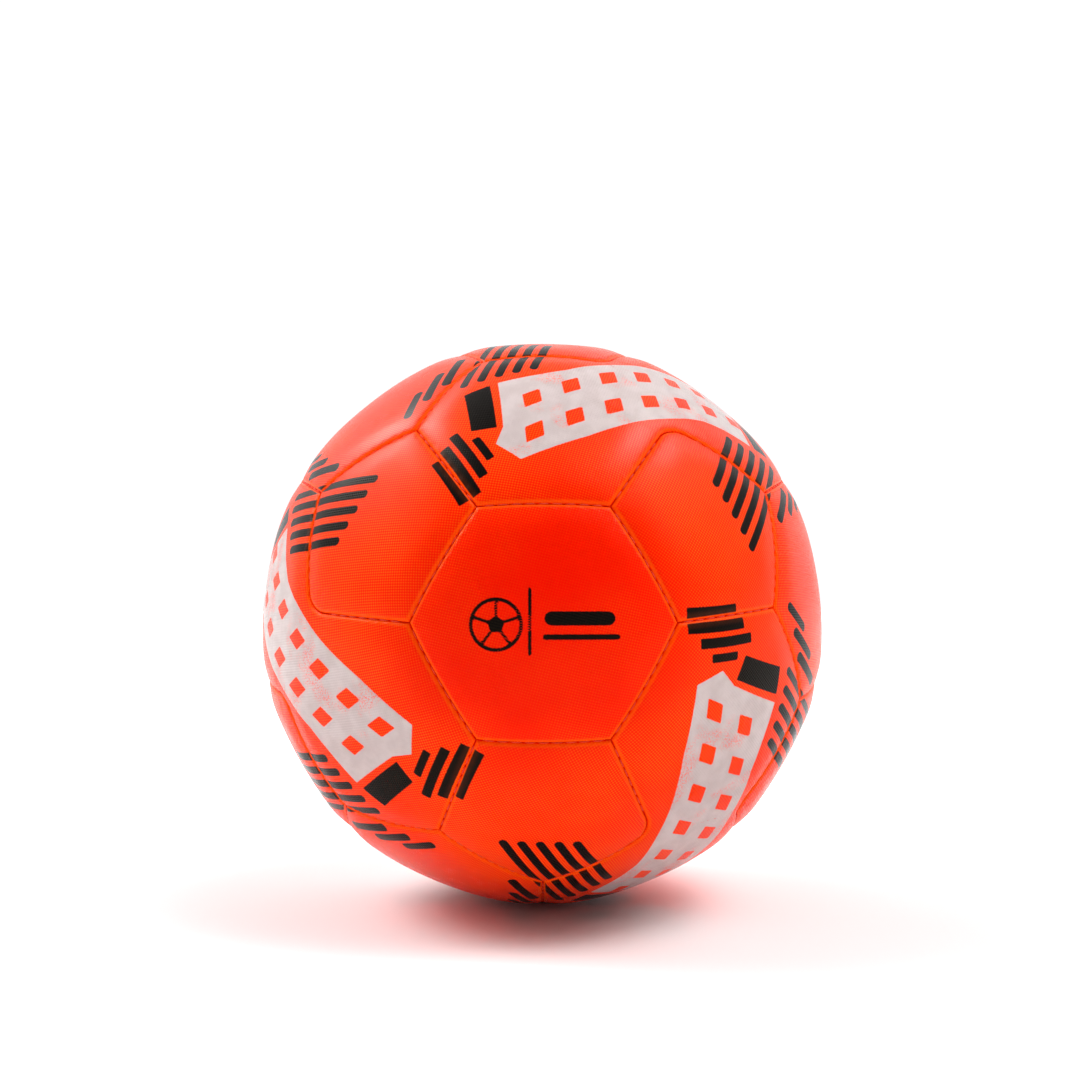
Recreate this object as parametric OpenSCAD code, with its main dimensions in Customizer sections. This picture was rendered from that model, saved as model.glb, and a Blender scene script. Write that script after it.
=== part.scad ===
// Stitched soccer ball of 26 panels: 12 pentagons, 8 hexagons and 6 double hexagons.
// The origin is the centre of the ball, +Z is up, and the valve lies on the +Y axis.

/* [Ball] */
// Diameter over the covers
ball_d = 220; // [150:1:280]

/* [Panels] */
// Thickness of the outer synthetic leather cover
cover_t = 1.5; // [1.3:0.1:2.5]
// Thickness of the foam pad behind each cover
foam_t = 2.4; // [1:0.1:4]
// Thickness of the woven cloth lining behind the foam
lining_t = 1.2; // [0.6:0.1:2]
// Thickness of the glue line between two layers of a panel
glue_t = 0.1; // [0.05:0.01:0.2]
// Gap between neighbouring panels below the seam groove
panel_gap = 0.3; // [0.2:0.05:0.6]

/* [Seams] */
// Depth of the groove where two covers turn in at a seam
groove_depth = 1.1; // [0.8:0.1:1.2]
// Width of the rounded shoulder on each side of a seam
shoulder_w = 2.4; // [1.6:0.1:3]
// Radius of the rounded panel corner at the waist of a double hexagon
corner_r = 10; // [6:0.5:12]
// How far that corner stays inside the sharp corner
corner_cut = 0.6; // [0.2:0.1:2]
// Diameter of the stitching thread
thread_d = 0.6; // [0.4:0.1:0.8]
// Distance from the end of a thread to the point where three seams meet
thread_end = 1.6; // [1.2:0.1:4]

/* [Bladder] */
// Wall thickness of the rubber bladder
bladder_t = 0.7; // [0.5:0.1:2]
// Gap between the lining and the bladder
bladder_gap = 0.9; // [0.8:0.1:2]

/* [Valve] */
// Outer diameter of the valve neck
neck_d = 8; // [6:0.2:10]
// Gap round the neck where it passes through the panel
neck_gap = 0.3; // [0.2:0.05:0.5]
// Distance from the cover's surface down to the end of the neck
neck_drop = 0.5; // [0.3:0.1:1]
// Diameter of the flange inside the bladder
flange_d = 26; // [20:1:36]
// Thickness of the flange
flange_t = 1.5; // [1:0.1:3]
// Length of the valve tube inside the bladder, below the flange
tail_l = 9; // [6:0.5:14]
// Diameter of the rubber plug in the valve
core_d = 4.4; // [4:0.1:5]
// Length of the plug below its head
core_l = 14; // [12:0.5:15]
// Diameter of the plug's head
head_d = 6; // [5.6:0.1:6.4]
// Thickness of the plug's head
head_t = 1.2; // [0.8:0.1:1.6]
// Diameter of the needle hole
needle_d = 2; // [1.6:0.1:2.4]
// Depth of the needle hole, down to the slit that closes it
needle_l = 10; // [8:0.5:11]
// Outer diameter of the reinforcing patch round the valve
patch_d = 44; // [34:1:60]
// Thickness of the reinforcing patch
patch_t = 0.5; // [0.3:0.1:0.6]

/* [Hidden] */
fine = 96;
phi = (1 + sqrt(5)) / 2;
side_steps = 4;
corner_steps = 6;

ball_r = ball_d / 2;
foam_r = ball_r - cover_t - glue_t;
lining_r = foam_r - foam_t - glue_t;
casing_r = lining_r - lining_t;
bladder_r = casing_r - bladder_gap;
bladder_in_r = bladder_r - bladder_t;

// ---- Directions ----

function unit(v) = v / norm(v);
function angle(a, b) = atan2(norm(cross(a, b)), a * b);
function arc_angle(length) = length / ball_r * 180 / PI;
// The direction reached by turning from a towards b
function towards(a, b, degrees) = a * cos(degrees) + unit(b - (a * b) * a) * sin(degrees);

// The 12 pentagon centres are the vertices of an icosahedron, here on three golden rectangles
PENTAGONS = [
    for (turn = [0:2], one = [-1, 1], far = [-1, 1])
        let (v = [0, one, far * phi]) [for (k = [0:2]) v[(k + 3 - turn) % 3]]
];
function neighbours(p) = [for (q = PENTAGONS) if (abs(norm(p - q) - 2) < 0.01) q];
// The hexagons on both sides of the edge from p to its twin are joined as one double panel
function twin(p) = [for (c = p) abs(abs(c) - 1) < 0.01 ? -c : c];
function is_twin(p, q) = norm(twin(p) - q) < 0.01;
// The vertex next to both p and q, on the left of the way from p to q (1) or on the right (-1)
function beside(p, q, way) = [
    for (r = neighbours(p)) if (abs(norm(q - r) - 2) < 0.01 && way * (cross(p, q) * r) > 0) r
][0];
// The vertex that follows q anticlockwise round p, seen from outside
function next_round(p, q) = beside(p, q, 1);
function corner(p, q) = unit(2 * p + q);

FACES = [
    for (i = [0:11], j = [i + 1:11], k = [i + 1:11])
        let (a = PENTAGONS[i], b = PENTAGONS[j], c = PENTAGONS[k])
            if (j != k && norm(a - b) < 2.01 && norm(b - c) < 2.01 && norm(c - a) < 2.01
                && cross(b, c) * a > 0) [a, b, c]
];
HEXAGONS = [
    for (f = FACES)
        if (!is_twin(f[0], f[1]) && !is_twin(f[1], f[2]) && !is_twin(f[2], f[0])) f
];
DOUBLES = [
    for (i = [0:11], j = [i:11])
        if (is_twin(PENTAGONS[i], PENTAGONS[j])) [PENTAGONS[i], PENTAGONS[j]]
];

// The ball's own axes: the valve hexagon is on +Y, a half of a double hexagon leans to the top
y_axis = unit([-1, 1, 1]);
top_half = unit([phi, -1 / phi, 0]);
z_axis = unit(top_half - (top_half * y_axis) * y_axis);
x_axis = cross(y_axis, z_axis);
function placed(v) = [v * x_axis, v * y_axis, v * z_axis];
function middle(f) = unit(f[0] + f[1] + f[2]);
valve_face = [for (i = [0:7]) if (middle(HEXAGONS[i]) * y_axis > 0.99) i][0];

// ---- Panel outlines, as directions in anticlockwise order ----

function side(a, b) =
    let (whole = angle(a, b)) [for (i = [0:side_steps - 1]) towards(a, b, whole * i / side_steps)];

// The centre of the circle that rounds p's corner towards its twin
function round_centre(p) =
    towards(corner(p, twin(p)), unit(p), arc_angle(corner_r + corner_cut));
// The point where the great circle from q touches that circle; way is 1 or -1, the side it passes
function touch_point(q, w, way) =
    let (
        e = unit(w - (w * q) * q),
        lean = acos(sin(arc_angle(corner_r)) / (w * e)),
        n = e * cos(lean) + way * cross(q, e) * sin(lean)
    ) unit(w - (w * n) * n);
function around(a, b, w) =
    let (
        x = unit(a - (a * w) * w),
        y = cross(w, x),
        sweep = atan2(b * y, b * x)
    ) [
        for (i = [0:corner_steps - 1])
            let (t = sweep * i / corner_steps)
                w * (a * w) + (x * cos(t) + y * sin(t)) * sqrt(1 - pow(a * w, 2))
    ];

// Both ends of a pentagon's rounded corner, then its four sharp corners
function pentagon_points(p) =
    let (
        q1 = twin(p),
        q2 = next_round(p, q1),
        q3 = next_round(p, q2),
        q4 = next_round(p, q3),
        q5 = next_round(p, q4),
        w = round_centre(p)
    ) [
        touch_point(corner(p, q5), w, 1),
        touch_point(corner(p, q2), w, -1),
        for (q = [q2, q3, q4, q5]) corner(p, q)
    ];
function pentagon_outline(p) =
    let (points = pentagon_points(p)) concat(
        around(points[0], points[1], round_centre(p)),
        [for (i = [1:5]) each side(points[i], points[(i + 1) % 6])]
    );

function hexagon_outline(f) = [
    for (i = [0:2])
        let (a = f[i], b = f[(i + 1) % 3], c = f[(i + 2) % 3])
            each concat(side(corner(a, b), corner(b, a)), side(corner(b, a), corner(b, c)))
];

// Half of a double hexagon's outline, from the waist corner at q round to the one at p
function half_double(p, q) =
    let (
        third = beside(p, q, 1),
        w = round_centre(p),
        t_q = touch_point(corner(q, third), round_centre(q), 1),
        t_p = touch_point(corner(p, third), w, -1),
        t_next = touch_point(corner(p, beside(p, q, -1)), w, 1)
    ) concat(
        side(t_q, corner(q, third)),
        side(corner(q, third), corner(third, q)),
        side(corner(third, q), corner(third, p)),
        side(corner(third, p), corner(p, third)),
        side(corner(p, third), t_p),
        around(t_p, t_next, w)
    );
function double_outline(d) = concat(half_double(d[0], d[1]), half_double(d[1], d[0]));

// ---- Solids ----

// A ring of points at radius r, set in by inset from the seam planes of an outline
function ring(dirs, r, inset) =
    let (
        count = len(dirs),
        normals = [for (i = [0:count - 1]) unit(cross(dirs[i], dirs[(i + 1) % count]))]
    ) [
        for (i = [0:count - 1])
            let (
                a = normals[(i + count - 1) % count],
                b = normals[i],
                base = inset * (a + b) / (1 + a * b)
            ) placed(base + sqrt(r * r - base * base) * dirs[i])
    ];

// A closed wedge through an outline; each level is [radius, inset]
module wedge(dirs, levels) {
    count = len(dirs);
    last = len(levels) - 1;
    centre = unit([for (k = [0:2]) [for (d = dirs) placed(d)[k]] * [for (d = dirs) 1]]);
    points = concat(
        [centre * levels[0][0]],
        [for (level = levels) each ring(dirs, level[0], level[1])],
        [centre * levels[last][0]]
    );
    faces = concat(
        [for (i = [0:count - 1]) [0, 1 + i, 1 + (i + 1) % count]],
        [
            for (k = [0:last - 1], i = [0:count - 1])
                let (
                    a = 1 + k * count + i,
                    b = 1 + k * count + (i + 1) % count
                ) each [[a, a + count, b + count], [a, b + count, b]]
        ],
        [
            for (i = [0:count - 1])
                [len(points) - 1, 1 + last * count + (i + 1) % count, 1 + last * count + i]
        ]
    );
    polyhedron(points, faces);
}

module shell(outer_r, inner_r) {
    difference() {
        sphere(r = outer_r, $fn = fine);
        sphere(r = inner_r, $fn = fine);
    }
}

// Straight walls from well inside the ball to well outside it
wall_start = ball_r * 0.6;
wall_end = ball_r * 1.3;
straight = [[wall_start, panel_gap / 2], [wall_end, panel_gap / 2]];

// The same walls, opened above the groove by part of an ellipse that ends just above the cover
lift = 0.3;
last_angle = 75;
rounded = concat(
    [[wall_start, panel_gap / 2]],
    [
        for (a = [0, 25, 50, last_angle])
            [
                ball_r - groove_depth + (groove_depth + lift) * sin(a) / sin(last_angle),
                panel_gap / 2 + shoulder_w * (1 - cos(a)) / (1 - cos(last_angle))
            ]
    ],
    [[wall_end, panel_gap / 2 + shoulder_w]]
);

module cover(dirs) {
    color("orangered") intersection() {
        shell(ball_r, ball_r - cover_t);
        wedge(dirs, rounded);
    }
}

module foam(dirs) {
    color("lightyellow") intersection() {
        shell(foam_r, foam_r - foam_t);
        wedge(dirs, straight);
    }
}

module lining(dirs) {
    color("gainsboro") intersection() {
        shell(lining_r, casing_r);
        wedge(dirs, straight);
    }
}

// Cuts the way for the valve neck through what it is given
module valve_way(d) {
    difference() {
        children();
        rotate([-90, 0, 0]) cylinder(d = d, h = ball_r + 1, $fn = fine);
    }
}

way_d = neck_d + 2 * neck_gap;

module hexagon_layer(i) {
    if (i == valve_face) valve_way(way_d) children();
    else children();
}

// ---- Bladder and valve ----

module bladder() {
    color("dimgray") valve_way(neck_d) shell(bladder_r, bladder_in_r);
}

// The flange is bonded under the bladder's wall; the neck goes out and the tail goes in
neck_top = ball_r - neck_drop;
flange_r = bladder_in_r - flange_t;
tail_end = flange_r - tail_l;

module about_valve(inner_r, outer_r, d) {
    intersection() {
        shell(outer_r, inner_r);
        rotate([-90, 0, 0]) cylinder(d = d, h = ball_r + 1, $fn = fine);
    }
}

module valve_housing() {
    color("black") difference() {
        union() {
            about_valve(flange_r, bladder_in_r, flange_d);
            rotate([-90, 0, 0]) translate([0, 0, tail_end])
                cylinder(d = neck_d, h = neck_top - tail_end, $fn = fine);
        }
        rotate([-90, 0, 0]) {
            translate([0, 0, tail_end - 1])
                cylinder(d = core_d, h = neck_top - tail_end + 2, $fn = fine);
            translate([0, 0, neck_top - head_t])
                cylinder(d = head_d, h = head_t + 1, $fn = fine);
        }
    }
}

module valve_core() {
    color("lightgray") rotate([-90, 0, 0]) difference() {
        union() {
            translate([0, 0, neck_top - head_t]) cylinder(d = head_d, h = head_t, $fn = fine);
            translate([0, 0, neck_top - head_t - core_l]) cylinder(d = core_d, h = core_l, $fn = fine);
        }
        translate([0, 0, neck_top - needle_l]) cylinder(d = needle_d, h = needle_l + 1, $fn = fine);
    }
}

module valve_patch() {
    patch_r = bladder_r + (bladder_gap + patch_t) / 2;
    color("beige") valve_way(way_d) about_valve(patch_r - patch_t, patch_r, patch_d);
}

// ---- Stitching ----

thread_r = ball_r - groove_depth + thread_d;

// A thread along the circle about w, from direction a round to direction b, shortened by trim
module thread_about(w, a, b, trim) {
    x = unit(a - (a * w) * w);
    y = cross(w, x);
    out = thread_r * sqrt(1 - pow(a * w, 2));
    cut = trim / out * 180 / PI;
    sweep = atan2(b * y, b * x);
    centre = placed(w) * thread_r * (a * w);
    multmatrix([for (i = [0:2]) [placed(x)[i], placed(y)[i], placed(w)[i], centre[i]]])
        rotate([0, 0, cut])
            rotate_extrude(angle = sweep - 2 * cut, $fn = fine)
                translate([out, 0]) circle(d = thread_d, $fn = 24);
}
module thread_between(a, b) thread_about(unit(cross(a, b)), a, b, thread_end);

module pentagon_threads(p) {
    points = pentagon_points(p);
    thread_about(round_centre(p), points[0], points[1], thread_d);
    for (i = [1:5]) thread_between(points[i], points[(i + 1) % 6]);
}

module seam_thread() {
    color("orange") {
        for (p = PENTAGONS) pentagon_threads(p);
        for (i = [0:11], j = [i:11])
            let (p = PENTAGONS[i], q = PENTAGONS[j])
                if (abs(norm(p - q) - 2) < 0.01 && !is_twin(p, q))
                    thread_between(corner(p, q), corner(q, p));
    }
}

// ---- Nodes ----

module pentagon_cover(i) cover(pentagon_outline(PENTAGONS[i]));
module pentagon_lining(i) lining(pentagon_outline(PENTAGONS[i]));
module hexagon_cover(i) hexagon_layer(i) cover(hexagon_outline(HEXAGONS[i]));
module hexagon_lining(i) hexagon_layer(i) lining(hexagon_outline(HEXAGONS[i]));
module double_hexagon_cover(i) cover(double_outline(DOUBLES[i]));
module double_hexagon_lining(i) lining(double_outline(DOUBLES[i]));
module pentagon_foams() for (i = [0:11]) foam(pentagon_outline(PENTAGONS[i]));
module hexagon_foams() for (i = [0:7]) hexagon_layer(i) foam(hexagon_outline(HEXAGONS[i]));
module double_hexagon_foams() for (i = [0:5]) foam(double_outline(DOUBLES[i]));

function numbered(name, count) = [for (i = [1:count]) str(name, "_", i < 10 ? "0" : "", i)];
PENTAGON_COVERS = numbered("pentagon_cover", 12);
PENTAGON_LININGS = numbered("pentagon_lining", 12);
HEXAGON_COVERS = numbered("hexagon_cover", 8);
HEXAGON_LININGS = numbered("hexagon_lining", 8);
DOUBLE_COVERS = numbered("double_hexagon_cover", 6);
DOUBLE_LININGS = numbered("double_hexagon_lining", 6);

for (i = [0:11]) pentagon_cover(i);
for (i = [0:7]) hexagon_cover(i);
for (i = [0:5]) double_hexagon_cover(i);
pentagon_foams();
hexagon_foams();
double_hexagon_foams();
for (i = [0:11]) pentagon_lining(i);
for (i = [0:7]) hexagon_lining(i);
for (i = [0:5]) double_hexagon_lining(i);
seam_thread();
bladder();
valve_housing();
valve_core();
valve_patch();
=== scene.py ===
"""Stitched soccer ball: 26 printed synthetic leather panels, stitches, foam pads and a valve.

Lengths inside this script are millimetres, and meshes are made in metres.
The ball's centre is the origin, +Z is up and the valve lies on +Y.
"""
import math

import bpy
import numpy as np
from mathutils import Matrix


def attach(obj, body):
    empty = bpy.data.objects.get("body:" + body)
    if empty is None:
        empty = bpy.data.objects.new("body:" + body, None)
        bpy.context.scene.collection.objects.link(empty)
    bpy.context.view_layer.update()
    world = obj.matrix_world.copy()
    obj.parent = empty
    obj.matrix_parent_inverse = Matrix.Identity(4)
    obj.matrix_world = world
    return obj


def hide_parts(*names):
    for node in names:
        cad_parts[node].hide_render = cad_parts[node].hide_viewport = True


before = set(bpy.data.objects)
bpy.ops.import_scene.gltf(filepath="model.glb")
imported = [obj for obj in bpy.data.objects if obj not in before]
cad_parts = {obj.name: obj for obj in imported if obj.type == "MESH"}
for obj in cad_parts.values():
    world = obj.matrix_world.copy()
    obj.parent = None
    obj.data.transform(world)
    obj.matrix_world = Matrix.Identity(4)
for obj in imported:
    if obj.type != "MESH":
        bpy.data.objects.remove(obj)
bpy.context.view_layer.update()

MM = 0.001
BALL_R = 110.0
COVER_T = 1.5
SEAM_DEPTH = 1.7
LINING_R = 106.0
GLUE = 0.1
CORNER_R = 10.0
CORNER_CUT = 0.6
STITCH_PITCH = 4.5
HOLE_R = 4.3
UV_MM = 200.0
FAR = 99.0
PHI = (1 + math.sqrt(5)) / 2


def unit(v):
    v = np.asarray(v, float)
    return v / np.linalg.norm(v, axis=-1, keepdims=True)


def towards(a, b, length):
    """The direction reached by going a length from a towards b over the ball's surface."""
    turn = length / BALL_R
    return a * math.cos(turn) + unit(b - (a @ b) * a) * math.sin(turn)


# ---------- The net of panels, as directions ----------

ICOSAHEDRON = [np.roll([0.0, one, far], turn) for turn in range(3) for one in (-1, 1) for far in (-PHI, PHI)]
SIDE = 2.01  # neighbouring vertices are 2 apart


def twin(p):
    """The neighbour of p whose shared hexagon seam is left out, which makes a double panel."""
    return np.where(abs(abs(p) - 1) < 0.01, -p, p)


def apart(p, q):
    return np.linalg.norm(p - q)


def beside(p, q, way):
    """The vertex next to p and q, on the left (1) or on the right (-1) of the way from p to q."""
    for r in ICOSAHEDRON:
        if apart(p, r) < SIDE and apart(q, r) < SIDE and way * (np.cross(p, q) @ r) > 0:
            return r


def corner(p, q):
    return unit(2 * p + q)


Y_AXIS = unit([-1, 1, 1])
TOP_HALF = unit([PHI, -1 / PHI, 0])
Z_AXIS = unit(TOP_HALF - (TOP_HALF @ Y_AXIS) * Y_AXIS)
AXES = np.array([np.cross(Y_AXIS, Z_AXIS), Y_AXIS, Z_AXIS])


def round_centre(p):
    """The centre of the circle that rounds the corner of pentagon p towards its twin."""
    return towards(corner(p, twin(p)), unit(p), CORNER_R + CORNER_CUT)


def touch_point(q, w, way):
    """Where the great circle from q touches the circle about w, passing it on one side."""
    e = unit(w - (w @ q) * q)
    lean = math.acos(math.sin(CORNER_R / BALL_R) / (w @ e))
    n = e * math.cos(lean) + way * np.cross(q, e) * math.sin(lean)
    return unit(w - (w @ n) * n)


class Seam:
    """A straight seam from a to b, anticlockwise round its panel."""

    def __init__(self, a, b):
        self.mid = unit(a + b)
        self.normal = unit(np.cross(a, b))
        self.half = BALL_R * math.acos(a @ self.mid)

    def place(self, p):
        return BALL_R * np.arctan2(p @ np.cross(self.normal, self.mid), p @ self.mid)

    def measure(self, p):
        """Distance of the points p from the seam, and their place along it from its middle."""
        place = self.place(p)
        off = BALL_R * np.arcsin(np.clip(p @ self.normal, -1, 1))
        return np.hypot(off, np.maximum(abs(place) - self.half, 0)), place

    def reach(self, centre, dirs):
        """How far along dirs, in the plane that touches the ball at centre, the seam is met."""
        down = -(dirs @ self.normal)
        r = (self.normal @ centre) / np.where(down > 1e-9, down, 1)
        met = (down > 1e-9) & (abs(self.place(centre + r[..., None] * dirs)) < self.half + 1e-6)
        return np.where(met, r, np.inf)


class RoundSeam:
    """The arc that rounds a pentagon's corner, about w from a to b; way is 1 seen from the pentagon."""

    def __init__(self, a, b, w, way):
        self.w, self.way = w, way
        self.x = unit(unit(a + b) - (unit(a + b) @ w) * w)
        self.y = np.cross(w, self.x)
        self.half = math.atan2(abs(a @ self.y), a @ self.x)

    def measure(self, p):
        turn = np.arctan2(p @ self.y, p @ self.x)
        off = abs(BALL_R * np.arccos(np.clip(p @ self.w, -1, 1)) - CORNER_R)
        return np.where(abs(turn) <= self.half, off, FAR), turn * CORNER_R

    def reach(self, centre, dirs):
        a, b = centre @ self.w, dirs @ self.w
        ratio = math.cos(CORNER_R / BALL_R) / np.hypot(a, b)
        r = np.tan(np.arctan2(b, a) + self.way * np.arccos(np.minimum(ratio, 1)))
        p = centre + r[..., None] * dirs
        met = (ratio < 1) & (r > 0) & (abs(np.arctan2(p @ self.y, p @ self.x)) < self.half + 1e-7)
        return np.where(met, r, np.inf)


class Cell:
    """One hexagon or pentagon of the net, worked on in the plane that touches it at its centre."""

    def __init__(self, corners, seams, merged=None):
        self.centre = unit(sum(corners))
        self.e1 = unit(corners[0] - (corners[0] @ self.centre) * self.centre)
        self.e2 = np.cross(self.centre, self.e1)
        self.corners = np.array([[c @ self.e1, c @ self.e2] / (c @ self.centre) for c in corners])
        self.mids = (self.corners + np.roll(self.corners, -1, axis=0)) / 2
        self.seams, self.merged = seams, merged

    def lift(self, x):
        return unit(self.centre + x[..., :1] * self.e1 + x[..., 1:] * self.e2)

    def fit(self, x):
        """Stretches points of the sharp outline so that its edge falls on the seams."""
        r = np.linalg.norm(x, axis=-1)
        e = np.where(r[..., None] > 1e-9, x / np.maximum(r, 1e-12)[..., None], [1.0, 0.0])
        sharp = np.full(r.shape, np.inf)
        for k, after in zip(self.corners, np.roll(self.corners, -1, axis=0)):
            n = np.array([after[1] - k[1], k[0] - after[0]])
            sharp = np.minimum(sharp, (k @ n) / np.maximum(e @ n, 1e-9))
        dirs = e[..., :1] * self.e1 + e[..., 1:] * self.e2
        true = np.min([s.reach(self.centre, dirs) for s in self.seams], axis=0)
        true = np.where(np.isfinite(true), true, sharp)
        f = np.clip(r / sharp, 0, 1)
        return x * (1 + f ** 4 * (true / sharp - 1))[..., None]

    def steps(self, side, near, spacing):
        """Places from the centre (0) to a side (1), close together near a seam and even elsewhere."""
        whole = math.atan(np.linalg.norm(self.mids[side]))
        near = [0.0] if side == self.merged else near
        count = max(2, round((whole * BALL_R - near[-1]) / spacing) + 1)
        d = np.concatenate([near[:-1], np.linspace(near[-1], whole * BALL_R, count)])[::-1]
        return np.tan(whole - d / BALL_R) / math.tan(whole)

    def grids(self, near, spacing):
        """One grid of directions per corner, and which of its points lie on a seam."""
        n = len(self.corners)
        for i, k in enumerate(self.corners):
            a = self.steps(i, near, spacing)[:, None, None]
            b = self.steps((i - 1) % n, near, spacing)[None, :, None]
            x = a * (1 - b) * self.mids[i] + (1 - a) * b * self.mids[i - 1] + a * b * k
            edge = np.zeros(x.shape[:2], bool)
            edge[-1, :] = i != self.merged
            edge[:, -1] |= (i - 1) % n != self.merged
            yield self.lift(self.fit(x)), edge

    def outline(self, near, spacing):
        """The cell's edge in its own plane, anticlockwise, and which points lie on a seam."""
        n = len(self.corners)
        rows, edge = [], []
        for i in range(n):
            after = (i + 1) % n
            b = self.steps((i - 1) % n, near, spacing)[::-1, None][:-1]
            a = self.steps(after, near, spacing)[:, None][:-1]
            rows.append(b * self.corners[i] + (1 - b) * self.mids[i])
            rows.append((1 - a) * self.mids[i] + a * self.corners[after])
            edge.append(np.full(len(a) + len(b), i != self.merged))
            if i == self.merged:
                edge[-1][0] = True
        edge = np.concatenate(edge)
        return self.fit(np.concatenate(rows)), edge


class Panel:
    """A cover panel of one or two cells, with the directions its weave follows."""

    def __init__(self, kind, cells, along):
        self.kind, self.cells = kind, cells
        self.centre = unit(sum(c.centre for c in cells))
        self.u = unit(along - (along @ self.centre) * self.centre)
        self.v = np.cross(self.centre, self.u)
        self.has_hole = kind == "hexagon" and self.centre @ Y_AXIS > 0.99

    def measure(self, p):
        """Distance to the nearest seam, the same rounded off at the corners, and the place along it."""
        got = np.array([s.measure(p) for c in self.cells for s in c.seams])
        nearest = got[:, 0].argmin(0)[None]
        smooth = np.sum(np.maximum(got[:, 0], 0.05) ** -4.0, axis=0) ** -0.25
        exact, place = (np.take_along_axis(got[:, k], nearest, 0)[0] for k in (0, 1))
        return exact, smooth, place


def make_panels():
    panels = []
    for p in ICOSAHEDRON:
        around = [twin(p)]
        while len(around) < 5:
            around.append(beside(p, around[-1], 1))
        w = round_centre(p)
        tips = [corner(p, q) for q in around[1:]]
        first = touch_point(tips[0], w, -1)
        last = touch_point(tips[3], w, 1)
        ends = [first] + tips + [last]
        seams = [Seam(a, b) for a, b in zip(ends, ends[1:])] + [RoundSeam(last, first, w, 1)]
        tip = towards(corner(p, around[0]), unit(p), CORNER_CUT)
        panels.append(Panel("pentagon", [Cell([tip] + tips, seams)], around[0]))
    faces = []
    for i, a in enumerate(ICOSAHEDRON):
        for b in ICOSAHEDRON[i + 1:]:
            for c in ICOSAHEDRON[i + 1:]:
                if max(apart(a, b), apart(b, c), apart(c, a)) < SIDE and np.cross(b, c) @ a > 1:
                    faces.append((a, b, c))
    for face in faces:
        pairs = [(face[k], face[(k + 1) % 3]) for k in range(3)]
        if any(apart(twin(p), q) < 0.01 for p, q in pairs):
            continue
        tips = [x for p, q in pairs for x in (corner(p, q), corner(q, p))]
        seams = [Seam(a, b) for a, b in zip(tips, tips[1:] + tips[:1])]
        panels.append(Panel("hexagon", [Cell(tips, seams)], tips[0]))
    for i, first in enumerate(ICOSAHEDRON):
        for second in ICOSAHEDRON[i + 1:]:
            if apart(twin(first), second) > 0.01:
                continue
            cells = []
            for p, q in ((first, second), (second, first)):
                third = beside(p, q, 1)
                waist_p, waist_q = (towards(corner(a, b), unit(a), CORNER_CUT) for a, b in ((p, q), (q, p)))
                tips = [corner(q, third), corner(third, q), corner(third, p), corner(p, third)]
                touch_q = touch_point(tips[0], round_centre(q), 1)
                touch_p = touch_point(tips[3], round_centre(p), -1)
                ends = [touch_q] + tips + [touch_p]
                seams = [Seam(a, b) for a, b in zip(ends, ends[1:])]
                seams.append(RoundSeam(waist_q, touch_q, round_centre(q), -1))
                seams.append(RoundSeam(touch_p, waist_p, round_centre(p), -1))
                cells.append(Cell([waist_p, waist_q] + tips, seams, merged=0))
            panels.append(Panel("double_hexagon", cells, beside(first, second, 1)))
    return panels


# ---------- Height of the covers ----------

GRID = 0.8
SEAM_STEPS = [0, 0.06, 0.15, 0.3, 0.5, 0.75, 1.05, 1.4, 1.8, 2.3, 2.9, 3.6, 4.4]
ON_SEAM = 0.01
SWELL, SWELL_WIDTH = 2.6, 38
SINK = 1.2
SHOULDER, SHOULDER_WIDTH = 1.7, 6.0
DENT, DENT_AT, DENT_WIDTH = 0.16, 1.3, 0.7
EDGE_R, EDGE_DROP = 2.0, SEAM_DEPTH + 0.1
RIM_R = 0.7
TUCK = 0.6


def cover_top(panel, p):
    """How far the cover's outer face stands above the ball's radius at the directions p.

    Each panel is flatter than the ball, so it falls from a ridge near its seams to its middle.
    It rounds down over a wide shoulder, then turns in steeply, with a dent at every stitch.
    """
    exact, smooth, place = panel.measure(p)
    flatter = SWELL * (1 - np.minimum(smooth, SWELL_WIDTH) / SWELL_WIDTH) ** 2 - SINK
    shoulder = SHOULDER * np.exp(-(smooth / SHOULDER_WIDTH) ** 1.8)
    beat = 0.5 + 0.5 * np.cos(2 * math.pi * place / STITCH_PITCH)
    dent = DENT * beat * np.exp(-((exact - DENT_AT) / DENT_WIDTH) ** 2)
    turn_in = 1 - np.minimum(exact / EDGE_R, 1)
    edge = EDGE_DROP * (1 - np.sqrt(np.maximum(1 - turn_in ** 2.2, 0)))
    top = np.maximum(flatter - shoulder - dent - edge, -SEAM_DEPTH)
    top = np.where(exact < ON_SEAM, -SEAM_DEPTH, top)
    if panel.has_hole:
        rim = np.clip(1 - (BALL_R * np.arccos(p @ Y_AXIS) - HOLE_R) / RIM_R, 0, 1)
        top = top - RIM_R * (1 - np.sqrt(1 - np.minimum(rim, 0.999) ** 2))
    return top, exact


def cover_bottom(panel, p):
    """The inner face: one thickness down, drawn together with the outer face at the seams."""
    top, exact = cover_top(panel, p)
    lowest_there = -SEAM_DEPTH - TUCK * np.minimum(exact, 1)
    return np.where(exact < ON_SEAM, -SEAM_DEPTH, np.maximum(top - COVER_T, lowest_there))


# ---------- Surfaces ----------

def grid_faces(rows, columns, closed=False):
    """Four-sided faces of a grid, joined round in its second direction if it is closed."""
    i = np.arange(rows - 1)[:, None]
    j = np.arange(columns if closed else columns - 1)[None]
    k = (j + 1) % columns
    quads = np.stack([i * columns + j, i * columns + k, (i + 1) * columns + k, (i + 1) * columns + j], -1)
    return quads.reshape(-1, 4)


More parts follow.
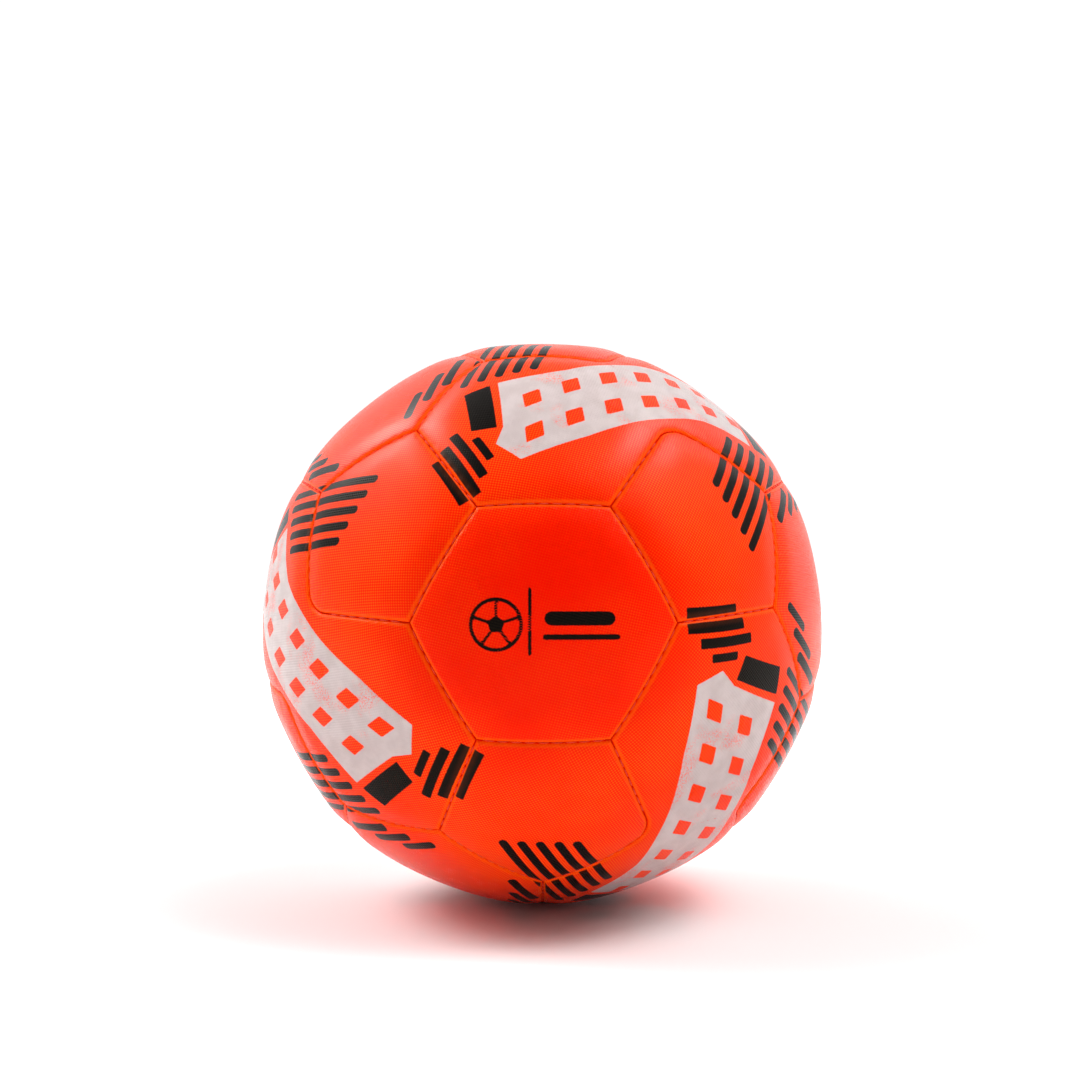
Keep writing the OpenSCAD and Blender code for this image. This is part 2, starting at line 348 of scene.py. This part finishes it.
def weld(parts):
    """Joins (points, faces) parts and merges points that are the same to a thousandth of a millimetre."""
    counts = np.cumsum([0] + [len(p) for p, f in parts])
    points = np.concatenate([p for p, f in parts])
    quads = np.concatenate([f + n for (p, f), n in zip(parts, counts)])
    room = 2 ** 20
    key = np.round(points * 1000).astype(np.int64) + room // 4
    key = (key[:, 0] * room + key[:, 1]) * room + key[:, 2]
    kept, back = np.unique(key, return_index=True, return_inverse=True)[1:]
    return points[kept], back.reshape(-1)[quads], kept


def make_mesh(name, points, quads, material):
    """A smooth mesh of four-sided faces; a face that repeats a corner becomes a triangle."""
    repeated = quads == np.roll(quads, -1, axis=1)
    whole = quads[~repeated.any(1)]
    some = repeated.sum(1) == 1
    triangles = quads[some][~repeated[some]].reshape(-1, 3)
    corners = np.concatenate([whole.ravel(), triangles.ravel()]).astype(np.int32)
    sizes = np.concatenate([np.full(len(whole), 4), np.full(len(triangles), 3)])
    mesh = bpy.data.meshes.new(name)
    mesh.vertices.add(len(points))
    mesh.vertices.foreach_set("co", (points * MM).astype(np.float32).ravel())
    mesh.loops.add(len(corners))
    mesh.loops.foreach_set("vertex_index", corners)
    mesh.polygons.add(len(sizes))
    mesh.polygons.foreach_set("loop_start", (np.cumsum(sizes) - sizes).astype(np.int32))
    mesh.update(calc_edges=True)
    mesh.polygons.foreach_set("use_smooth", np.full(len(sizes), True))
    mesh.materials.append(material)
    made = bpy.data.objects.new(name, mesh)
    bpy.context.scene.collection.objects.link(made)
    return made


def add_values(made, name, values):
    made.data.attributes.new(name, "FLOAT", "POINT").data.foreach_set("value", values.astype(np.float32))


def add_uv(made, uv):
    index = np.empty(len(made.data.loops), np.int32)
    made.data.loops.foreach_get("vertex_index", index)
    made.data.uv_layers.new(name="weave").data.foreach_set("uv", uv[index].astype(np.float32).ravel())


def rings(cell, edge, places, radius, outward, hole):
    """A surface of rings, from a cell's outline (place 1) to its middle or to the hole's rim (0)."""
    inner = np.tan(hole / BALL_R) / np.linalg.norm(edge, axis=-1, keepdims=True)
    dirs = cell.lift(np.array([edge * (f + (1 - f) * inner) for f in places]))
    points = (dirs * radius(dirs.reshape(-1, 3)).reshape(dirs.shape[:2])[..., None]).reshape(-1, 3)
    quads = grid_faces(len(places), len(edge), closed=True)
    if not hole:
        last = (len(places) - 1) * len(edge) + np.arange(len(edge))
        after = np.roll(last, -1)
        pole = np.full(len(edge), len(points))
        quads = np.concatenate([quads, np.stack([last, after, pole, pole], -1)])
        points = np.concatenate([points, cell.centre[None] * radius(cell.centre[None])[0]])
    return points, quads if outward else quads[:, ::-1]


def steps_between(low, high, spacing):
    return list(np.linspace(low, high, round((high - low) / spacing) + 1))


INNER_PLACES = [1.0, 0.99, 0.975, 0.95, 0.92, 0.87, 0.8, 0.66, 0.48, 0.26]
RIM_START = 1.2
RIM_STEPS = [0.7, 0.5, 0.33, 0.2, 0.1, 0.04, 0.01]
PAD_STEPS, PAD_GRID = [0, 2.5], 3.0
PAD_EDGE = 0.992


def cover_parts(panel):
    """The parts of a closed cover, its outer face first, and how many points are on that face."""
    parts = []
    outer = lambda p: BALL_R + cover_top(panel, p)[0]
    inner = lambda p: BALL_R + cover_bottom(panel, p)
    for cell in panel.cells:
        if panel.has_hole:
            edge = cell.outline(SEAM_STEPS, GRID)[0]
            reach = BALL_R * np.arctan(np.linalg.norm(edge, axis=-1).mean()) - HOLE_R
            near = [1 - d / reach for d in SEAM_STEPS]
            middle = steps_between(near[-1], RIM_START / reach, -GRID / reach)
            places = near[:-1] + middle + [d / reach for d in RIM_STEPS]
            parts.append(rings(cell, edge, places, outer, True, HOLE_R))
            continue
        for dirs, edge in cell.grids(SEAM_STEPS, GRID):
            flat = dirs.reshape(-1, 3)
            r = np.where(edge.reshape(-1), BALL_R - SEAM_DEPTH, outer(flat))
            parts.append((flat * r[:, None], grid_faces(*edge.shape)))
    on_top = sum(len(p) for p, f in parts)
    for cell in panel.cells:
        edge = cell.outline(SEAM_STEPS, GRID)[0]
        places = INNER_PLACES + ([0.01] if panel.has_hole else [])
        parts.append(rings(cell, edge, places, inner, False, HOLE_R if panel.has_hole else 0))
        if panel.has_hole:
            top, bottom = parts[0][0][-len(edge):], parts[-1][0][-len(edge):]
            parts.append((np.concatenate([top, bottom]), grid_faces(2, len(edge), closed=True)))
    return parts, on_top


def make_cover(name, panel, ink, material):
    """A cover with the distances its material needs and a UV map of the weave in 0.2 m units."""
    parts, on_top = cover_parts(panel)
    points, quads, kept = weld(parts)
    dirs = unit(points)
    exact = panel.measure(dirs)[0]
    made = make_mesh(name, points @ AXES.T, quads, material)
    add_values(made, "seam_mm", exact)
    shown = kept < on_top
    for colour in ("black", "white"):
        add_values(made, colour + "_mm", np.where(shown, ink(dirs, colour), FAR))
    u = np.arctan2(dirs @ panel.u, dirs @ panel.centre)
    add_uv(made, np.stack([u, np.arcsin(dirs @ panel.v)], -1) * BALL_R / UV_MM + 0.5)
    return made


def pad_parts(panel):
    """A foam pad: its outer face lies against the cover and its inner face against the lining."""
    parts = []
    top = lambda p: BALL_R + cover_bottom(panel, p) - GLUE
    flat = lambda p: np.full(len(p), LINING_R + GLUE)
    hole = HOLE_R if panel.has_hole else 0
    for cell in panel.cells:
        edge, on_seam = cell.outline(PAD_STEPS, PAD_GRID)
        edge = edge * np.where(on_seam, PAD_EDGE, 1)[:, None]
        places = INNER_PLACES + ([0] if hole else [])
        over = rings(cell, edge, places, top, True, hole)
        under = rings(cell, edge, places[::2] + ([0] if hole else []), flat, False, hole)
        count = len(edge)
        wall = np.concatenate([over[0][:count], under[0][:count]])
        sides = grid_faces(2, count, closed=True)[:, ::-1]
        if len(panel.cells) > 1:
            sides = sides[on_seam & np.roll(on_seam, -1)]
        parts += [over, under, (wall, sides)]
        if hole:
            rim = np.concatenate([over[0][-count:], under[0][-count:]])
            parts.append((rim, grid_faces(2, count, closed=True)))
    return parts


# ---------- Print ----------

class Shape:
    """A filled shape in millimetres on a double panel: a polygon, or a stroke or disc if it has a width."""

    def __init__(self, points, width=0.0):
        self.points, self.width = np.asarray(points, float), width

    def turned(self):
        return Shape(-self.points, self.width)

    def distance(self, uv):
        """Signed distance, negative inside."""
        near = np.full(len(uv), FAR)
        inside = np.zeros(len(uv), bool)
        for a, b in zip(self.points, np.roll(self.points, -1, axis=0)):
            way, off = b - a, uv - a
            share = np.clip(off @ way / max(way @ way, 1e-9), 0, 1)
            near = np.minimum(near, np.linalg.norm(off - share[:, None] * way, axis=1))
            if a[1] != b[1]:
                crosses = (a[1] > uv[:, 1]) != (b[1] > uv[:, 1])
                inside ^= crosses & (off[:, 0] < off[:, 1] * way[0] / way[1])
        if self.width:
            return near - self.width / 2
        return np.where(inside, -near, near)


def printed(uv, shapes, holes=()):
    """Signed distance to a print made of shapes with holes in them."""
    found = np.full(len(uv), FAR)
    for shape, cut in [(s, False) for s in shapes] + [(s, True) for s in holes]:
        margin = 4 + shape.width
        near = ((uv > shape.points.min(0) - margin) & (uv < shape.points.max(0) + margin)).all(1)
        if near.any():
            d = shape.distance(uv[near])
            found[near] = np.maximum(found[near], -d) if cut else np.minimum(found[near], d)
    return found


# Black marks near one end of a double panel: graded bars along the end seam and a block
END_MARKS = [
    Shape([(-84, 2), (-84, -21), (-80, -21), (-80, 2)]),
    Shape([(-79, 5), (-79, -21), (-75.2, -21), (-75.2, 5)]),
    Shape([(-73.5, 8), (-73.5, -16), (-70, -16), (-70, 8)]),
    Shape([(-68, 1), (-68, -11), (-65, -11), (-65, 1)]),
    Shape([(-58, 25), (-66, 5), (-58, 1), (-48, 24)]),
]
HATCHING = [Shape([(8 + 2 * k, -46 - 6 * k), (29 + 6.4 * k, -25 - 1.6 * k)], 3.2) for k in range(5)]
STROKES = [Shape([(-77 + 10 * k, 35 + 3 * k), (-67 + 13 * k, 45 + 6 * k)], 3.6) for k in range(3)]
ONE_SIDE = END_MARKS + HATCHING + STROKES
BLACK = ONE_SIDE + [s.turned() for s in ONE_SIDE]

# A white band along the panel with plain slanted ends, and two staggered rows of slanted windows
HALF_BAND = [(-62, -6), (-58, -17), (-33, -18.5), (-5, -17.5), (20, -17.5), (30, -19.5), (45, -23.5), (56, 0)]
BAND = Shape(HALF_BAND + [(-x, -y) for x, y in HALF_BAND])
WINDOWS = [
    Shape([(x - 5, y - 3.5), (x + 2, y - 3.5), (x + 5, y + 3.5), (x - 2, y + 3.5)])
    for y, first in ((8, -40), (-8, -48)) for x in range(first, 49, 16)
]

# The centre and long side of each double panel, three about the front hexagon and three behind
X, Y, Z = np.eye(3)
FRONT = [(X, Y), (-Y, Z), (-Z, -X)]
CHARTS = FRONT + [(-c, -u) for c, u in FRONT]


# A plain ball badge: a five-sided middle with spokes out to a ring
BADGE_AT = (-15.5, -0.5)
MIDDLE_R, RING_R = 3, 8
SPOKES = np.radians(90 + 72 * np.arange(5))


def on_badge(r, a):
    return BADGE_AT[0] + r * math.cos(a), BADGE_AT[1] + r * math.sin(a)


BADGE = [Shape([on_badge(MIDDLE_R, a) for a in SPOKES])]
BADGE += [Shape([on_badge(r, a) for r in (MIDDLE_R, RING_R)], 1) for a in SPOKES]
RING_OUTSIDE = Shape([BADGE_AT], 17.6)
RING_INSIDE = Shape([BADGE_AT], 15.2)

# A divider and two bars to the right of the badge
BARS = [
    Shape([(-4.5, 11), (-4.5, -10)], 1.1),
    Shape([(2.5, 1.5), (21, 1.5)], 4.6),
    Shape([(0.5, -4.5), (24, -4.5)], 1.8),
]


# Cosines of the turns that the print of a double panel and the marks of the front hexagon reach
CHART_REACH = 0.45
BADGE_REACH = 0.94


def chart(p, centre, u):
    """Places of the directions p on a flat map about centre that keeps lengths from its middle."""
    v = np.cross(centre, u)
    turn = np.arccos(np.clip(p @ centre, -1, 1))
    way = np.stack([p @ u, p @ v], -1)
    return way / np.maximum(np.linalg.norm(way, axis=-1, keepdims=True), 1e-9) * turn[:, None] * BALL_R


def ink(p, colour):
    """Signed distance to the black or the white print on the double panels and the front hexagon."""
    found = np.full(len(p), FAR)
    for centre, u in CHARTS:
        near = p @ centre > CHART_REACH
        if near.any():
            uv = chart(p[near], centre, u)
            d = printed(uv, BLACK) if colour == "black" else printed(uv, [BAND], WINDOWS)
            found[near] = np.minimum(found[near], d)
    if colour == "black":
        front = p @ -Y_AXIS > BADGE_REACH
        if front.any():
            uv = chart(p[front], -Y_AXIS, AXES[0])
            ring = np.maximum(RING_OUTSIDE.distance(uv), -RING_INSIDE.distance(uv))
            marks = np.minimum(printed(uv, BADGE + BARS), ring)
            found[front] = np.minimum(found[front], marks)
    return found


# ---------- Materials ----------

class Value:
    """A number in a shader; Python's operators on it add Math nodes."""

    def __init__(self, shader, socket):
        self.shader, self.socket = shader, socket

    def math(self, operation, *others):
        return self.shader.add("ShaderNodeMath", {"operation": operation}, dict(enumerate((self,) + others)))

    def __add__(self, other):
        return self.math("ADD", other)

    def __mul__(self, other):
        return self.math("MULTIPLY", other)

    def __sub__(self, other):
        return self.math("SUBTRACT", other)

    def __truediv__(self, other):
        return self.math("DIVIDE", other)

    def __rsub__(self, other):
        return self * -1 + other

    __radd__ = __add__

    def least(self, other):
        return self.math("MINIMUM", other)

    def most(self, other):
        return self.math("MAXIMUM", other)

    def cos(self):
        return self.math("COSINE")

    def ramp(self, low, high):
        """0 at low, 1 at high, smooth between them and level beyond."""
        settings = {"interpolation_type": "SMOOTHSTEP"}
        return self.shader.add("ShaderNodeMapRange", settings, {0: self, 1: float(low), 2: float(high)})


class Shader:
    """A material or world with a principled surface, built node by node."""

    def __init__(self, name, **constants):
        self.material = bpy.data.materials.new(name)
        self.material.use_nodes = True
        self.tree = self.material.node_tree
        self.surface = self.tree.nodes["Principled BSDF"]
        for socket, value in constants.items():
            self.surface.inputs[socket.replace("_", " ")].default_value = value

    def add(self, kind, settings=None, sockets=None, output=0):
        node = self.tree.nodes.new(kind)
        for key, value in (settings or {}).items():
            setattr(node, key, value)
        for key, value in (sockets or {}).items():
            self.put(value, node.inputs[key])
        return Value(self, node.outputs[output])

    def put(self, value, socket):
        if isinstance(value, Value):
            self.tree.links.new(value.socket, socket)
        else:
            socket.default_value = value

    def set(self, **sockets):
        for key, value in sockets.items():
            self.put(value, self.surface.inputs[key.replace("_", " ")])

    def attribute(self, name):
        return self.add("ShaderNodeAttribute", {"attribute_name": name}, output="Fac")

    def place(self):
        """Object coordinates in millimetres."""
        where = self.add("ShaderNodeTexCoord", output="Object")
        return self.add("ShaderNodeVectorMath", {"operation": "SCALE"}, {0: where, "Scale": 1000.0})

    def split(self, vector):
        return [self.add("ShaderNodeSeparateXYZ", sockets={0: vector}, output=k) for k in range(3)]

    def noise(self, where, size, detail=2.0):
        """Noise from about 0.25 to 0.75 whose grains are about size millimetres."""
        return self.add("ShaderNodeTexNoise", sockets={"Vector": where, "Scale": 1 / size, "Detail": detail})

    def mix(self, share, first, second):
        """The colour that goes from first to second as share goes from 0 to 1."""
        return self.add("ShaderNodeMix", {"data_type": "RGBA"}, {0: share, 6: first, 7: second}, output=2)

    def bump(self, height):
        """A normal from a height in millimetres."""
        return self.add("ShaderNodeBump", sockets={"Height": height, "Distance": MM, "Strength": 1.0})


def rgb(red, green, blue):
    return (red, green, blue, 1.0)


# The orange between the dots, and a lighter orange on the dots: partly their own tone, mostly a painted
# highlight of the raised dots.
BETWEEN_DOTS, DOT_TONE_AND_HIGHLIGHT = rgb(0.95, 0.010, 0.0), rgb(1.0, 0.13, 0.006)
# A deeper red for random broad patches, also used as painted shade on the front that faces the camera.
DEEPER_RED_AND_FRONT_SHADE = rgb(0.90, 0.003, 0.0)
# A painted glow on the seam's lip, for light bounced about inside the groove, and painted shade in the seam's
# slit.
SEAM_LIP_PAINTED_GLOW, SEAM_SLIT_PAINTED_SHADE = rgb(1.0, 0.10, 0.0), rgb(0.75, 0.012, 0.0)
WHITE_LOW, WHITE_HIGH = rgb(0.53, 0.44, 0.43), rgb(0.60, 0.51, 0.50)
BLACK_INK, BROWNISH_BLACK = rgb(0.004, 0.003, 0.003), rgb(0.06, 0.012, 0.004)
DOT_PITCH = 1.3
INK_BLUR = 0.3


def ink_share(distance, shown):
    """How much ink lies at a signed distance from the print's edge, where shown is 1."""
    return (0.5 - distance / INK_BLUR).most(0).least(1) * shown


def leather_material():
    """Fluorescent orange synthetic leather, embossed with rows of dots, with black and white print."""
    s = Shader("synthetic_leather", Specular_IOR_Level=0.06, Specular_Tint=rgb(1, 0.75, 0.4),
               Coat_Roughness=0.26)
    seam, black, white = (s.attribute(name) for name in ("seam_mm", "black_mm", "white_mm"))
    uv = s.add("ShaderNodeUVMap", {"uv_map": "weave"})
    uv = s.add("ShaderNodeVectorMath", {"operation": "SCALE"}, {0: uv, "Scale": UV_MM})
    u, v, _ = s.split(uv)
    where = s.place()
    wave = 2 * math.pi / DOT_PITCH
    dots = (u * wave).cos() * (v * wave).cos() * 0.5 + 0.5
    fine, patchy, broad = s.noise(where, 0.5), s.noise(where, 6.0, 3.0), s.noise(where, 35.0)

    # Orange: lighter on the dots (partly their own tone, mostly a painted highlight), redder in broad patches
    # and as painted shade in front, then a painted glow on the seam's lip and painted shade in its slit
    # Painted shade: the front, which faces the camera and gets less light, is painted redder, with fainter
    # dots.
    painted_front_shade = 1 - s.split(where)[1].ramp(-111, -92)
    # Painted highlight: the raised dots are coloured lighter, as if they caught the light.
    orange = s.mix(dots * dots * (1 - painted_front_shade * 0.5), BETWEEN_DOTS, DOT_TONE_AND_HIGHLIGHT)
    orange = s.mix(broad.ramp(0.35, 0.65) * 0.3 + painted_front_shade * 0.55, orange, DEEPER_RED_AND_FRONT_SHADE)
    # Painted glow: a yellower orange on the lip stands in for light bounced about in the groove.
    rim = seam.ramp(0.2, 0.5) * (1 - seam.ramp(0.8, 1.9))
    orange = s.mix(rim * 0.55, orange, SEAM_LIP_PAINTED_GLOW)
    # Painted shade: the bottom of the slit is painted a darker red.
    orange = s.mix(1 - seam.ramp(0.05, 0.3), orange, SEAM_SLIT_PAINTED_SHADE)

    # Print: it stops short of the slit, has a slightly rough edge, and is rubbed through in flecks
    edge = (fine - 0.5) * 0.35
    printed_here = seam.ramp(0.6, 1.1)
    # The black turns brownish over the last few millimetres before the seam.
    brown_near_seam = (1 - seam.ramp(1.5, 3.5)) * 0.5
    is_white = ink_share(white + edge, printed_here)
    is_black = ink_share(black + edge, printed_here)
    flecks = s.noise(where, 0.5, 2.0).ramp(0.47, 0.60) * s.noise(where, 16.0, 3.0).ramp(0.52, 0.64)
    white_ink = s.mix(patchy.ramp(0.3, 0.7), WHITE_LOW, WHITE_HIGH)
    black_ink = s.mix(brown_near_seam, BLACK_INK, BROWNISH_BLACK)
    colour = s.mix(is_white * (1 - flecks * 0.6), orange, white_ink)
    colour = s.mix(is_black, colour, black_ink)
    ink_here = is_white.most(is_black)

    # Relief of the dots, grain, scratches and ink, and a polish on the ridges beside the upper seams
    rough = 0.27 + (patchy - 0.5) * 0.12 + dots * -0.08 + ink_here * -0.03
    stretched = {"Vector": where, "Scale": (1.0, 0.12, 1.0), "Rotation": (0.4, 0.9, 0.3)}
    across = s.add("ShaderNodeMapping", sockets=stretched)
    scratches = s.noise(across, 0.7, 1.0).ramp(0.70, 0.76) * broad.ramp(0.45, 0.6)
    raised = dots * 0.09 + fine * 0.008 - scratches * 0.02 + ink_here * 0.012
    ridge = seam.ramp(1.0, 4.0) * (1 - seam.ramp(6.0, 15.0)) * s.split(where)[2].ramp(42, 75)
    polished = ridge * broad.ramp(0.3, 0.6) * (0.08 + dots * dots * 0.6)
    s.set(Base_Color=colour, Roughness=rough, Coat_Weight=polished, Normal=s.bump(raised))
    return s.material


def simple_material(name, low, high, rough, grain, depth, weave=0.0, **constants):
    """A material of two near colours, mottled at the size grain, with a bump and perhaps a cloth weave."""
    s = Shader(name, **constants)
    where = s.place()
    x, y, z = s.split(where)
    mottle, fine = s.noise(where, grain, 3.0), s.noise(where, grain / 5)
    raised = mottle * 0.6 + fine * 0.4
    if weave:
        k = 2 * math.pi / weave
        raised = (x * k).cos() * (z * k + y * k).cos() * 0.5 + raised * 0.4 + 0.5
    s.set(Base_Color=s.mix(raised.ramp(0.35, 0.7), rgb(*low), rgb(*high)))
    s.set(Roughness=rough + (mottle - 0.5) * 0.2, Normal=s.bump(raised * depth))
    return s.material


MATERIALS = {
    "synthetic_leather": leather_material(),
    "foam": simple_material(
        "foam", (0.78, 0.7, 0.42), (0.9, 0.84, 0.6), rough=0.85, grain=1.2, depth=0.12),
    "lining_cloth": simple_material(
        "lining_cloth", (0.5, 0.48, 0.44), (0.72, 0.7, 0.66), rough=0.9, grain=3.0, depth=0.12,
        weave=1.4, Sheen_Weight=0.2),
    "thread": simple_material(
        "thread", (0.75, 0.015, 0.0), (0.95, 0.05, 0.0), rough=0.6, grain=0.5, depth=0.03),
    "bladder_rubber": simple_material(
        "bladder_rubber", (0.02, 0.02, 0.022), (0.045, 0.045, 0.05), rough=0.5, grain=4.0, depth=0.05),
    "valve_rubber": simple_material(
        "valve_rubber", (0.012, 0.012, 0.012), (0.03, 0.03, 0.03), rough=0.55, grain=1.5, depth=0.03),
    "plug_rubber": simple_material(
        "plug_rubber", (0.42, 0.42, 0.4), (0.55, 0.55, 0.52), rough=0.5, grain=1.0, depth=0.02),
}
NODE_SLOTS = [("lining", "lining_cloth"), ("bladder", "bladder_rubber"), ("valve_patch", "lining_cloth")]
for node_name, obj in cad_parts.items():
    for word, slot_name in NODE_SLOTS:
        if word in node_name:
            obj.data.materials.clear()
            obj.data.materials.append(MATERIALS[slot_name])


def finish_piece(made, slot_name, *nodes):
    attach(made, "root")
    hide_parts(*nodes)


# ---------- The pieces ----------

panels = make_panels()
cover_nodes = [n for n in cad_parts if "_cover_" in n]
node_centres = {}
for n in cover_nodes:
    co = np.empty(len(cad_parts[n].data.vertices) * 3, np.float32)
    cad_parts[n].data.vertices.foreach_get("co", co)
    node_centres[n] = unit(co.reshape(-1, 3).mean(0))
covers = []
for panel in panels:
    fitting = [n for n in cover_nodes if n.startswith(panel.kind + "_cover")]
    node = max(fitting, key=lambda n: node_centres[n] @ (AXES @ panel.centre))
    cover_nodes.remove(node)
    made = make_cover("panel_" + node.replace("_cover", ""), panel, ink, MATERIALS["synthetic_leather"])
    finish_piece(made, "synthetic_leather", node)
    covers.append(made)

for kind in ("pentagon", "hexagon", "double_hexagon"):
    points, quads, _ = weld([part for panel in panels if panel.kind == kind for part in pad_parts(panel)])
    pads = make_mesh(kind + "_pads", points @ AXES.T, quads, MATERIALS["foam"])
    finish_piece(pads, "foam", kind + "_foams")


STITCH_SHARE = 0.42
STITCH_LIFT, STITCH_DIP = 0.55, 0.35
STITCH_RADII = [0.04, 0.2, 0.22, 0.2, 0.04]
STITCH_SIDES = 6
SEAM_END = 1.5


def tubes(path, side, up, radii, around):
    """Tubes of round section along many paths at once; path is (tubes, points, 3)."""
    count, length = path.shape[:2]
    t = (2 * math.pi * np.arange(around) / around)[:, None]
    thick = np.asarray(radii)[None, :, None, None]
    ring = np.cos(t) * side[:, None, None, :] + np.sin(t) * up[:, None, None, :]
    points = (path[:, :, None, :] + thick * ring).reshape(-1, 3)
    quads = grid_faces(length, around, closed=True)
    starts = (np.arange(count) * length * around)[:, None, None]
    quads = (quads[None] + starts).reshape(-1, 4)
    return points, quads


def stitches():
    """Short threads that lie in the bottom of every straight seam, one for each stitch."""
    centres, ways = [], []
    for panel in panels:
        for s in [s for c in panel.cells for s in c.seams if isinstance(s, Seam)]:
            count = 2 * int((s.half - SEAM_END) / STITCH_PITCH) + 1
            turn = (np.arange(count) - count // 2) * STITCH_PITCH / BALL_R
            along = np.cross(s.normal, s.mid)
            centres.append(np.cos(turn)[:, None] * s.mid + np.sin(turn)[:, None] * along)
            ways.append(np.cos(turn)[:, None] * along - np.sin(turn)[:, None] * s.mid)
    centres, ways = np.concatenate(centres), np.concatenate(ways)
    once = weld([(centres * BALL_R, np.zeros((0, 4), int))])[2]
    centres, ways = centres[once], ways[once]
    reach = np.linspace(-1, 1, len(STITCH_RADII)) * STITCH_PITCH * STITCH_SHARE
    height = BALL_R - SEAM_DEPTH + STITCH_LIFT - STITCH_DIP * (reach / reach[-1]) ** 4
    path = centres[:, None] * height[:, None] + ways[:, None] * reach[:, None]
    return tubes(path, np.cross(ways, centres), centres, STITCH_RADII, STITCH_SIDES)


points, quads = stitches()
thread = make_mesh("stitches", points @ AXES.T, quads, MATERIALS["thread"])
finish_piece(thread, "thread", "seam_thread")


def turned(profile, around=96):
    """A solid turned about +Y from a closed profile of (radius, height) points, outside first."""
    r, h = np.array(profile, float).T
    t = 2 * math.pi * np.arange(around) / around
    points = np.stack([r[:, None] * np.sin(t), np.repeat(h[:, None], around, 1), r[:, None] * np.cos(t)], -1)
    return points.reshape(-1, 3), grid_faces(len(r), around, closed=True)


def rounded_profile(corners, radius=0.25, steps=4):
    """A closed profile with every corner rounded by a curve that starts one radius before it."""
    corners = np.array(corners, float)
    rows = []
    for before, at, after in zip(np.roll(corners, 1, axis=0), corners, np.roll(corners, -1, axis=0)):
        a = at + unit(before - at) * min(radius, apart(before, at) / 2)
        b = at + unit(after - at) * min(radius, apart(after, at) / 2)
        t = np.linspace(0, 1, steps + 1)[:, None]
        rows.append((1 - t) ** 2 * a + 2 * t * (1 - t) * at + t ** 2 * b)
    rows = np.concatenate(rows)
    return np.concatenate([rows, rows[:1]])


BLADDER_IN = 103.1
FLANGE_LOW = BLADDER_IN - 1.5
TAIL_END = FLANGE_LOW - 9
NECK_TOP = BALL_R - 0.5
HEAD_LOW = NECK_TOP - 1.2
PLUG_END = NECK_TOP - 15.2
NEEDLE_END = NECK_TOP - 10
FLANGE_R, NECK_R, HEAD_R, BORE_R = 13, 4, 3, 2.2
FUNNEL_R, NEEDLE_R, AXIS_R = 1.6, 1.0, 0.02
housing = rounded_profile([
    (BORE_R, TAIL_END), (NECK_R, TAIL_END), (NECK_R, FLANGE_LOW), (FLANGE_R, FLANGE_LOW - 0.8),
    (FLANGE_R, BLADDER_IN - 0.85), (NECK_R, BLADDER_IN), (NECK_R, NECK_TOP), (HEAD_R, NECK_TOP),
    (HEAD_R, HEAD_LOW), (BORE_R, HEAD_LOW),
])
plug = rounded_profile([
    (AXIS_R, PLUG_END), (BORE_R, PLUG_END), (BORE_R, HEAD_LOW), (HEAD_R, HEAD_LOW), (HEAD_R, NECK_TOP),
    (FUNNEL_R, NECK_TOP), (NEEDLE_R, NECK_TOP - 0.6), (NEEDLE_R, NEEDLE_END), (AXIS_R, NEEDLE_END),
], radius=0.2)
for name, profile, slot_name, node in (
    ("valve_seat", housing, "valve_rubber", "valve_housing"),
    ("valve_plug", plug, "plug_rubber", "valve_core"),
):
    points, quads, _ = weld([turned(profile)])
    finish_piece(make_mesh(name, points, quads, MATERIALS[slot_name]), slot_name, node)


# ---------- Floor, light and camera ----------

FLOOR_HALF = 30
FLOOR_GAP = 0.05
lowest = min(v.co.z for made in covers for v in made.data.vertices)
floor_points = np.array([(-1, -1), (1, -1), (1, 1), (-1, 1)]) * FLOOR_HALF / MM
floor_points = np.concatenate([floor_points, np.full((4, 1), lowest / MM - FLOOR_GAP)], 1)
s = Shader("floor", Roughness=0.9, Specular_IOR_Level=0.1)
s.set(Base_Color=s.mix(s.noise(s.place(), 80.0), rgb(0.85, 0.85, 0.85), rgb(0.88, 0.88, 0.88)))
floor = make_mesh("floor", floor_points, np.array([[0, 1, 2, 3]]), s.material)

scene = bpy.context.scene
scene.view_settings.view_transform = "Standard"
scene.world = bpy.data.worlds.new("studio")
scene.world.use_nodes = True


class Studio(Shader):
    """Light that comes from all round: bright above and behind, dimmer from the camera's side."""

    def __init__(self, world):
        self.tree = world.node_tree
        self.surface = self.tree.nodes["Background"]


LAMP_SHARPNESS = 40.0
LEFT_LAMP, RIGHT_LAMP = 20, 16
sky = Studio(scene.world)
x, y, z = sky.split(sky.add("ShaderNodeTexCoord", output="Generated"))
left = (x * -0.66 + y * 0.2 + z * 0.72).most(0).math("POWER", LAMP_SHARPNESS)
right = (x * 0.52 + y * -0.1 + z * 0.85).most(0).math("POWER", LAMP_SHARPNESS)
camera_side = (y * -1).ramp(0.3, 0.85)
around = 0.34 + y.ramp(-0.1, 0.6) * 0.71 + (x * x) * (x * x) * 0.4
strength = around * (1 - camera_side * 0.9) + left * LEFT_LAMP + right * RIGHT_LAMP
sky.set(Color=rgb(1, 1, 1), Strength=strength)

camera = bpy.data.objects.new("camera", bpy.data.cameras.new("camera"))
scene.collection.objects.link(camera)
camera.data.sensor_width = 36
camera.data.lens = 44.8
camera.data.clip_start, camera.data.clip_end = 0.01, 100
camera.location = (-2.4 * MM, -539.6 * MM, 5.7 * MM)
camera.rotation_euler = (math.radians(92.78), 0, math.radians(-0.16))
scene.camera = camera
